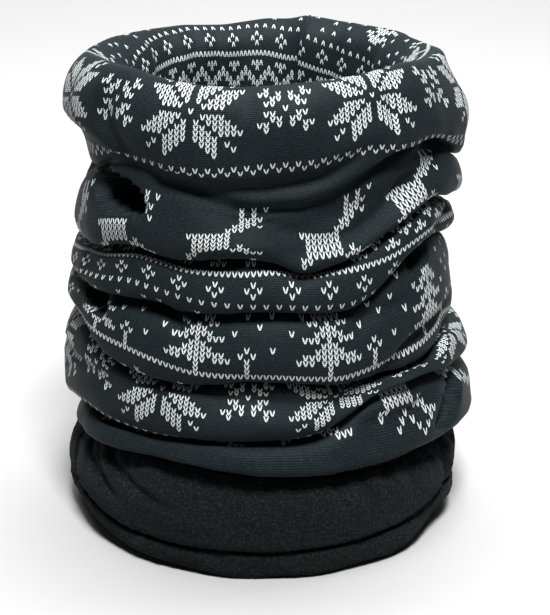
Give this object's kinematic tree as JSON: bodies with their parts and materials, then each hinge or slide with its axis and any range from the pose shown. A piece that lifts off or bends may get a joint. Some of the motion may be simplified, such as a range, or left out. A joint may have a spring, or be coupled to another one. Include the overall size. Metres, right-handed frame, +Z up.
{
  "type": "neck gaiter",
  "caption": "Knitted neck tube pushed down into soft rolls, with a winter stitch pattern and a double fleece band at its lower end.",
  "frame": {"origin": "on the surface the tube stands on, at the middle of the tube", "axes": "+Z up along the tube, from the fleece end to the rolled rim; -Y to the front; +X to the wearer's left as seen from the front"},
  "size_m": [0.164, 0.164, 0.19],
  "materials": {
    "printed_jersey": "fine microfibre jersey, near black, with a white stitch pattern",
    "fleece": "brushed pile fleece, black, matt",
    "thread": "black overlock thread",
    "label_tape": "plain white satin tape"
  },
  "bodies": {
    "fleece_end": {"fleece_outer": "fleece", "fleece_lining": "fleece", "joining_seam": "thread", "fleece_outer_side_seam": "thread", "fleece_lining_side_seam": "thread"},
    "face_end": {"printed_tube": "printed_jersey", "top_hem_thread": "thread"},
    "label": {"care_label": "label_tape", "care_label_stitches": "thread"}
  },
  "joints": [
    {"name": "pull_up", "type": "slide", "parent": "fleece_end", "child": "face_end", "axis": [0, 0, 1], "range_m": [0, 0.08], "deforming": ["printed_tube", "top_hem_thread"]},
    {"name": "label_flip", "type": "hinge", "parent": "fleece_end", "child": "label", "pos_m": [0, 0.0558, 0.036], "axis": [-1, 0, 0], "range_deg": [0, 120]}
  ]
}
